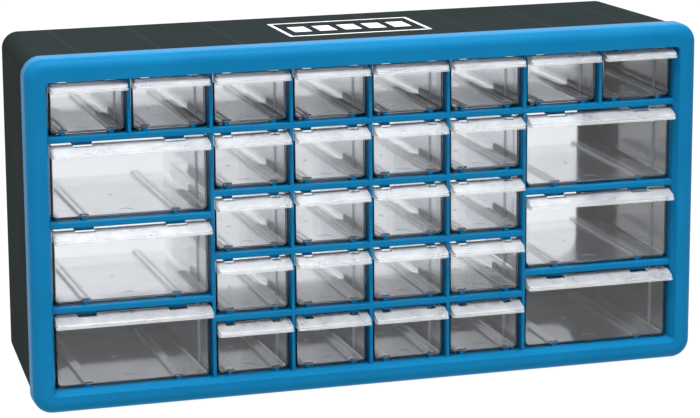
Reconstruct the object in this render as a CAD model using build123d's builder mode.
"""Parts organizer: thirty clear drawers in a black case behind a blue front frame.

Frame of the part: X across the front, Y from the front to the rear, Z up.
The origin is at the middle of the footprint, on the surface it stands on.
"""

from build123d import *
import os

os.makedirs("parts", exist_ok=True)

# ---------------------------------------------------------------- driving dimensions, mm
overall_width = 500.0
overall_height = 254.0
case_depth = 148.5              # crest of the front rim to the rear of the case
lip_proud = 2.5                 # drawer lips in front of the rim crest

columns = 8
rows = 5
column_pitch = 58.76
row_pitch = 45.77
base_line = 16.2                # underside of the bottom row of drawers
large_rows = 3                  # large drawers share the height of rows 2 to 5
row_clearance = 1.45            # drawer underside above the bar or sill it runs on
divider_thickness = 2.2
bar_height = 4.3

small_width = 53.6
small_height = 38.0
large_width = column_pitch * 2 - (column_pitch - small_width)
large_pitch = row_pitch * (rows - 1) / large_rows
large_height = small_height + large_pitch - row_pitch

# front frame
rim_corner_radius = 14.0
rim_bullnose = 8.0
rim_depth = 18.0
lattice_setback = 6.5           # lattice face behind the rim crest
side_bevel = 2.4                # inner rim leans inwards by this much at the sides
sill_crest = 12.8
sill_height = 15.2
head_height = 237.8             # underside of the top rim
opening_half_width = column_pitch * columns / 2 - divider_thickness / 2
lattice_edge_radius = 0.8
tab_engagement = 0.6            # stop tabs hang this far below the drawer tops
tab_front = 10.2
small_track, large_track = 17.2, 33.0        # tabs and rails, each side of a cell's middle
small_tab, large_tab = 6.2, 13.4
rail_front = 10.4
rail_width = 3.0
rail_rise = 1.6                 # rail top above the drawer underside
mouth_corner_radius = 4.0
clip_positions = (-192.0, 0.0, 192.0)
clip_width = 17.0
clip_tongue_length, clip_tongue_thickness = 14.0, 2.4
clip_hook_length, clip_hook_height = 5.0, 2.6
clip_window_length, clip_window_height = 8.0, 7.0

# case
wall = 2.5
case_front_half = 248.0
case_front_low, case_front_high = 2.0, 252.0
case_rear_half = 239.3
case_rear_low, case_rear_high = 5.0, 250.3
case_corner_radius = 12.0
window_half_width = 214.0
window_low, window_high = 42.0, 212.0
window_radius = 22.0
pad_width, pad_length = 22.0, 12.0
pad_spread = 215.0              # rear pads, each side of the middle
pad_setback = 130.0
keyhole_span = 380.0
keyhole_height = 232.0
keyhole_head_radius = 4.5
keyhole_slot_width = 4.6
keyhole_slot_length = 9.0

# drawer runners
fit_gap = 0.3
ledge_gap = 0.4                 # ledge below the drawer that runs on it
ledge_reach = 8.8               # each side of a divider line
ledge_thickness = 2.0
ledge_rear = 79.0
guide_rise = 7.5                # low walls between neighbouring drawers
guide_rear = 70.0
guide_width = 2.0

# drawers
drawer_setback = 10.0           # drawer face behind the rim crest
drawer_length = 132.0
drawer_wall = 1.4
drawer_belly = 4.2              # rounding between floor and side walls
drawer_corner = 2.0             # rounding of the front and rear outlines
channel_width = 4.2
channel_height = 1.9
channel_skin = 1.2
notch_depth = 2.0
lip_drop = 7.4
lip_shoulder = 4.8
lip_flare = 0.6
lip_wall = 1.6
lip_root = 2.6                  # solid depth where the hollow pull meets the drawer face
lip_edge_radius = 2.0
lip_overlap = 3.2               # the pull reaches this far into the drawer front
lip_corner = 2.4
bead = 0.4
bead_height = 1.2
divider_slot_setback = 27.0
divider_slot_width = 1.6
divider_rib = 0.8
divider_rib_shortfall = 8.0     # ribs are shorter than the drawer is high
gate_radius, gate_height = 1.5, 0.3
ejector_radius, ejector_depth = 5.0, 0.25
ejector_setback = 14.0

# ---------------------------------------------------------------- derived places
overall_depth = case_depth + lip_proud
crest_y = -overall_depth / 2 + lip_proud
lattice_y = crest_y + lattice_setback
rim_rear_y = crest_y + rim_depth
case_rear_y = crest_y + case_depth
drawer_y = crest_y + drawer_setback
lip_reach = drawer_setback + lip_proud
large_spans = ((0, 2), (6, 8))  # column spans of the two banks of large drawers
rear_aligned = (Align.CENTER, Align.MAX, Align.CENTER)


def column_x(column):
    """Middle of a one-column cell."""
    return (column - (columns - 1) / 2) * column_pitch


def divider_x(line):
    """Middle of the divider between two columns, or of an outer wall line."""
    return (line - columns / 2) * column_pitch


def small_bottom(row):
    """Underside of a small drawer; row 0 is the bottom row."""
    return base_line + row * row_pitch


def large_bottom(row):
    return base_line + row * large_pitch


def drawer_cells():
    """Every drawer as (node name, middle x, underside z, is large)."""
    cells = []
    for column in range(columns):
        cells.append((f"small_drawer_row1_{column + 1}", column_x(column), small_bottom(rows - 1), False))
    for row in range(rows - 1):
        for column in range(2, 6):
            name = f"small_drawer_row{rows - row}_{column + 1}"
            cells.append((name, column_x(column), small_bottom(row), False))
    for side, span in zip(("left", "right"), large_spans):
        for row in range(large_rows):
            middle = (divider_x(span[0]) + divider_x(span[1])) / 2
            cells.append((f"large_drawer_{side}_{large_rows - row}", middle, large_bottom(row), True))
    return cells


def track(is_large):
    return large_track if is_large else small_track


def half_pitch(is_large):
    """From the middle of a cell to the divider lines each side of it."""
    return column_pitch * (1.0 if is_large else 0.5)


def save(piece, name):
    piece.label = name
    export_step(piece, f"parts/{name}.step")


# ---------------------------------------------------------------- front frame
def ceiling_over(underside, is_large):
    """Underside of the bar or rim above a drawer."""
    pitch = large_pitch if is_large else row_pitch
    return min(underside + pitch - row_clearance - bar_height, head_height)


def rail_set(cells):
    """Rails on the bar or the sill under each drawer."""
    with BuildPart() as rails:
        with BuildSketch(Plane.XZ.offset(-(crest_y + rail_front))):
            for _, middle, underside, is_large in cells:
                foot = max(underside - row_clearance, sill_height) - 1.0
                top = underside + rail_rise
                spot = (foot + top) / 2
                with Locations((middle - track(is_large), spot), (middle + track(is_large), spot)):
                    Rectangle(rail_width, top - foot)
        extrude(amount=-(rim_depth - rail_front))
    return rails.part


def tab_set(cells):
    """Stop tabs that hang from the bar or the head over each drawer."""
    with BuildPart() as tabs:
        with BuildSketch(Plane.XZ.offset(-(crest_y + tab_front))):
            for _, middle, underside, is_large in cells:
                height = large_height if is_large else small_height
                low = underside + height - tab_engagement
                high = ceiling_over(underside, is_large) + 1.0
                spot = (low + high) / 2
                with Locations((middle - track(is_large), spot), (middle + track(is_large), spot)):
                    Rectangle(large_tab if is_large else small_tab, high - low)
        extrude(amount=-(rim_depth - tab_front))
    return tabs.part


def make_front_rim():
    bottom_cells = [cell for cell in drawer_cells() if cell[2] == base_line]
    top_cells = [cell for cell in drawer_cells() if cell[2] == small_bottom(rows - 1)]
    mouth_height = head_height - sill_crest
    inner_height = head_height - sill_height
    with BuildPart() as front_rim:
        with BuildSketch(Plane.XZ.offset(-crest_y)):
            with Locations((0, overall_height / 2)):
                RectangleRounded(overall_width, overall_height, rim_corner_radius)
        extrude(amount=-rim_depth)
        front_edges = front_rim.edges().group_by(Axis.Y)[0]
        fillet(front_edges, rim_bullnose)

        # the mouth of the rim leans in towards the lattice, and runs straight behind it
        with BuildSketch(Plane.XZ.offset(-crest_y)):
            with Locations((0, sill_crest + mouth_height / 2)):
                RectangleRounded((opening_half_width + side_bevel) * 2, mouth_height, mouth_corner_radius)
        with BuildSketch(Plane.XZ.offset(-lattice_y)):
            with Locations((0, sill_height + inner_height / 2)):
                RectangleRounded(opening_half_width * 2, inner_height, mouth_corner_radius / 2)
        loft(ruled=True, mode=Mode.SUBTRACT)
        with BuildSketch(Plane.XZ.offset(-lattice_y)):
            with Locations((0, sill_height + inner_height / 2)):
                RectangleRounded(opening_half_width * 2, inner_height, mouth_corner_radius / 2)
        extrude(amount=-(rim_depth - lattice_setback), mode=Mode.SUBTRACT)

        add(rail_set(bottom_cells))
        add(tab_set(top_cells))

        # snap clips that hook into the windows of the case, above and below
        for inner_face, outwards in ((case_front_high - wall, 1), (case_front_low + wall, -1)):
            tongue_middle = inner_face - outwards * (fit_gap * 2 + clip_tongue_thickness / 2)
            tongue_rear = rim_rear_y + clip_tongue_length - 2.0
            with Locations([(x, tongue_rear, tongue_middle) for x in clip_positions]):
                Box(clip_width, clip_tongue_length, clip_tongue_thickness, align=rear_aligned)
            hook_middle = inner_face + outwards * 0.4
            with Locations([(x, tongue_rear - 3.0, hook_middle) for x in clip_positions]):
                Box(clip_width - 2.0, clip_hook_length, clip_hook_height, align=rear_aligned)
    save(front_rim.part, "front_rim")


def make_lattice():
    top_line = small_bottom(rows - 1)
    upper_cells = [cell for cell in drawer_cells() if cell[2] > base_line]
    lower_cells = [cell for cell in drawer_cells() if cell[2] < top_line]
    with BuildPart() as lattice_bars:
        # one bar across under the top row, and one under every other drawer above the sill
        with BuildSketch(Plane.XZ.offset(-lattice_y)):
            with Locations((0, top_line - row_clearance - bar_height / 2)):
                Rectangle(opening_half_width * 2, bar_height)
            for _, middle, underside, is_large in upper_cells:
                if underside < top_line:
                    with Locations((middle, underside - row_clearance - bar_height / 2)):
                        Rectangle(half_pitch(is_large) * 2 - divider_thickness, bar_height)
        extrude(amount=-(rim_depth - lattice_setback))
        front_edges = lattice_bars.edges().filter_by(Axis.X).group_by(Axis.Y)[0]
        fillet(front_edges, lattice_edge_radius)
        add(rail_set(upper_cells))
        add(tab_set(lower_cells))
    save(lattice_bars.part, "lattice_bars")

    bar_high = top_line - row_clearance
    bar_low = bar_high - bar_height
    with BuildPart() as lattice_dividers:
        with BuildSketch(Plane.XZ.offset(-lattice_y)):
            for line in range(1, columns):
                with Locations((divider_x(line), (bar_high + head_height) / 2)):
                    Rectangle(divider_thickness, head_height - bar_high)
            for line in range(2, columns - 1):
                with Locations((divider_x(line), (sill_height + bar_low) / 2)):
                    Rectangle(divider_thickness, bar_low - sill_height)
        extrude(amount=-(rim_depth - lattice_setback))
    save(lattice_dividers.part, "lattice_dividers")


# ---------------------------------------------------------------- case
def case_half_width(depth, inset):
    """Half width of the case a given depth behind the rim crest."""
    share = (depth - rim_depth) / (case_depth - rim_depth)
    return case_front_half + (case_rear_half - case_front_half) * share - inset


def case_low(depth, inset):
    share = (depth - rim_depth) / (case_depth - rim_depth)
    return case_front_low + (case_rear_low - case_front_low) * share + inset


def case_high(depth, inset):
    share = (depth - rim_depth) / (case_depth - rim_depth)
    return case_front_high + (case_rear_high - case_front_high) * share - inset


def tapered_block(front_depth, rear_depth, inset):
    """Solid with the tapered form of the case, shrunk all round by an inset."""
    with BuildPart() as block:
        for depth in (front_depth, rear_depth):
            low = case_low(depth, inset)
            high = case_high(depth, inset)
            with BuildSketch(Plane.XZ.offset(-(crest_y + depth))):
                width = case_half_width(depth, inset) * 2
                with Locations((0, (low + high) / 2)):
                    RectangleRounded(width, high - low, case_corner_radius - inset)
        loft(ruled=True)
    return block.part


def make_case_shell():
    with BuildPart() as case_shell:
        add(tapered_block(rim_depth, case_depth, 0.0))
        add(tapered_block(rim_depth - 1.0, case_depth - wall, wall), mode=Mode.SUBTRACT)

        # rounded rear window, and two keyholes to hang the case on screws
        with BuildSketch(Plane.XZ.offset(-case_rear_y)):
            with Locations((0, (window_low + window_high) / 2)):
                RectangleRounded(window_half_width * 2, window_high - window_low, window_radius)
            with Locations((-keyhole_span / 2, keyhole_height), (keyhole_span / 2, keyhole_height)):
                Circle(keyhole_head_radius)
            slot_middle = keyhole_height + keyhole_slot_length / 2
            with Locations((-keyhole_span / 2, slot_middle), (keyhole_span / 2, slot_middle)):
                SlotOverall(keyhole_slot_length + keyhole_slot_width, keyhole_slot_width, rotation=90)
        extrude(amount=wall * 2, both=True, mode=Mode.SUBTRACT)

        # windows for the snap clips of the front frame
        levels = (case_front_low, case_front_high)
        with Locations([(x, rim_rear_y + 6.0, level) for x in clip_positions for level in levels]):
            Box(clip_width + 1.0, clip_window_length, clip_window_height, mode=Mode.SUBTRACT)

        # rear pads keep the tapered case level with the rim
        pad_top = case_low(pad_setback, 0.0) + 1.0
        with BuildSketch(Plane.XY):
            with Locations((-pad_spread, crest_y + pad_setback), (pad_spread, crest_y + pad_setback)):
                RectangleRounded(pad_width, pad_length, pad_length / 3)
        extrude(amount=pad_top)
    save(case_shell.part, "case_shell")


# ---------------------------------------------------------------- drawer runners
def make_drawer_runners():
    with BuildPart() as drawer_runners:
        # a ledge under each side of every drawer
        with BuildSketch(Plane.XZ.offset(-rim_rear_y)):
            for _, middle, underside, is_large in drawer_cells():
                level = underside - ledge_gap - ledge_thickness / 2
                spread = half_pitch(is_large) - ledge_reach / 2
                with Locations((middle - spread, level), (middle + spread, level)):
                    Rectangle(ledge_reach, ledge_thickness)
        extrude(amount=-(ledge_rear - rim_depth))

        # low walls keep neighbours apart; in the bottom row they stand on the case
        with BuildSketch(Plane.XZ.offset(-rim_rear_y)):
            for _, middle, underside, is_large in drawer_cells():
                reach = half_pitch(is_large)
                top = underside - row_clearance + guide_rise
                foot = underside - ledge_gap - ledge_thickness if underside > base_line else case_front_low
                with Locations((middle - reach, (foot + top) / 2), (middle + reach, (foot + top) / 2)):
                    Rectangle(guide_width, top - foot)
        extrude(amount=-(guide_rear - rim_depth))

        # room for the snap clips of the front frame
        levels = (case_front_low + wall, case_front_high - wall)
        with Locations([(x, rim_rear_y, level) for x in clip_positions for level in levels]):
            Box(clip_width + 2.0, clip_tongue_length * 2 - 2.0, 8.0, mode=Mode.SUBTRACT)
        add(tapered_block(rim_depth, case_depth - wall, wall + 0.05), mode=Mode.INTERSECT)
    save(drawer_runners.part, "drawer_runners")


# ---------------------------------------------------------------- drawers
def lip_block(width, height, inset):
    """Visor-shaped pull in front of a drawer; the inset version is its hollow underside."""
    front = lip_reach - bead - inset
    slope = lip_shoulder / (lip_reach - bead)
    with BuildPart() as block:
        with BuildSketch(Plane.YZ) as side_profile:
            with BuildLine():
                if inset:
                    root = height - lip_root
                    shoulder_drop = slope * front + inset * 1.05
                    start = -(lip_root - inset * 1.05) / slope
                    bottom = height - lip_drop - 1.0
                    Polyline((0, bottom), (0, root), (start, root), (-front, height - shoulder_drop),
                             (-front, bottom), (0, bottom))
                else:
                    bottom = height - lip_drop
                    Polyline((lip_overlap, bottom), (lip_overlap, height), (0, height),
                             (-front, height - lip_shoulder), (-front, bottom), (lip_overlap, bottom))
            make_face()
            fillet(side_profile.vertices().group_by(Axis.X)[0].sort_by(Axis.Y)[-1:], lip_edge_radius - inset)
        extrude(amount=width, both=True)
        with BuildSketch(Plane.XY.offset(height - lip_drop - 2.0)) as plan:
            with BuildLine():
                half = width / 2 - inset
                flared = half + lip_flare
                Polyline((-flared, -front), (-half, 0), (-half, lip_overlap), (half, lip_overlap),
                         (half, 0), (flared, -front))
                Line((-flared, -front), (flared, -front))
            make_face()
            fillet(plan.vertices().group_by(Axis.Y)[0], lip_corner - inset)
        extrude(amount=lip_drop + 4.0, mode=Mode.INTERSECT)
    return block.part


def lip_bead(width, height):
    """Thin band that thickens the lower edge of the pull."""
    with BuildPart() as band:
        with BuildSketch(Plane.XY.offset(height - lip_drop)) as plan:
            with BuildLine():
                half = width / 2 + 0.05
                flared = half + lip_flare + bead
                Polyline((-flared, -lip_reach), (-half, 0), (half, 0), (flared, -lip_reach))
                Line((-flared, -lip_reach), (flared, -lip_reach))
            make_face()
            fillet(plan.vertices().group_by(Axis.Y)[0], lip_corner)
        extrude(amount=bead_height)
    return band.part


def tray_block(width, height, inset):
    """Solid with the outer form of a drawer, or with the form of its cavity."""
    with BuildPart() as block:
        with BuildSketch(Plane.XZ.offset(-inset)) as profile:
            with Locations((0, inset + height / 2)):
                Rectangle(width - inset * 2, height)
            fillet(profile.vertices().group_by(Axis.Y)[0], drawer_belly - inset)
        extrude(amount=-(drawer_length - inset * 2))
        end_edges = block.faces().filter_by(Axis.Y).edges()
        fillet(end_edges.filter_by(lambda edge: edge.center().Z < height - 1.0), drawer_corner - inset)
    return block.part


def make_drawer(width, height, is_large):
    tab_width = large_tab if is_large else small_tab
    ridge_width = channel_width + channel_skin * 2
    ridge_top = channel_height + channel_skin
    with BuildPart() as drawer:
        add(tray_block(width, height, 0.0))
        add(lip_block(width, height, 0.0))
        add(lip_bead(width, height))
        add(lip_block(width, height, lip_wall), mode=Mode.SUBTRACT)
        add(tray_block(width, height, drawer_wall), mode=Mode.SUBTRACT)

        # pairs of ribs on the side walls hold a cross divider
        rib_height = height - divider_rib_shortfall
        rib_spread = (divider_slot_width + divider_rib) / 2
        rib_x = width / 2 - drawer_wall - divider_rib / 2 + 0.1
        rib_ys = (divider_slot_setback - rib_spread, divider_slot_setback + rib_spread)
        with Locations([(x, y, drawer_wall + rib_height / 2) for x in (-rib_x, rib_x) for y in rib_ys]):
            Box(divider_rib + 0.2, divider_rib, rib_height)

        # ridges in the floor ride over the rails, with a channel under each
        tracks = (-track(is_large), track(is_large))
        with Locations([(x, drawer_length / 2, (ridge_top + 0.7) / 2) for x in tracks]):
            Box(ridge_width, drawer_length - drawer_wall, ridge_top - 0.7)
        with Locations([(x, drawer_length / 2, channel_height / 2 - 1.0) for x in tracks]):
            Box(channel_width, drawer_length * 2, channel_height + 2.0, mode=Mode.SUBTRACT)

        # moulding marks on the floor: a gate pip, and a shallow ejector ring near the front
        with Locations((0, drawer_length / 2, drawer_wall)):
            Cylinder(gate_radius, gate_height * 2)
        with Locations((0, ejector_setback, drawer_wall)):
            Cylinder(ejector_radius, ejector_depth * 2, mode=Mode.SUBTRACT)

        # notches in the top of the front let the stop tabs of the frame drop in
        with Locations([(x, drawer_wall + 0.4, height) for x in tracks]):
            Box(tab_width + 0.8, lip_reach, notch_depth * 2, align=rear_aligned, mode=Mode.SUBTRACT)
    return drawer.part


def place_drawers():
    small_form = make_drawer(small_width, small_height, False)
    large_form = make_drawer(large_width, large_height, True)
    for name, middle, underside, is_large in drawer_cells():
        with BuildPart() as drawer:
            with Locations((middle, drawer_y, underside)):
                add(large_form if is_large else small_form)
        save(drawer.part, name)


make_front_rim()
make_lattice()
make_case_shell()
make_drawer_runners()
place_drawers()
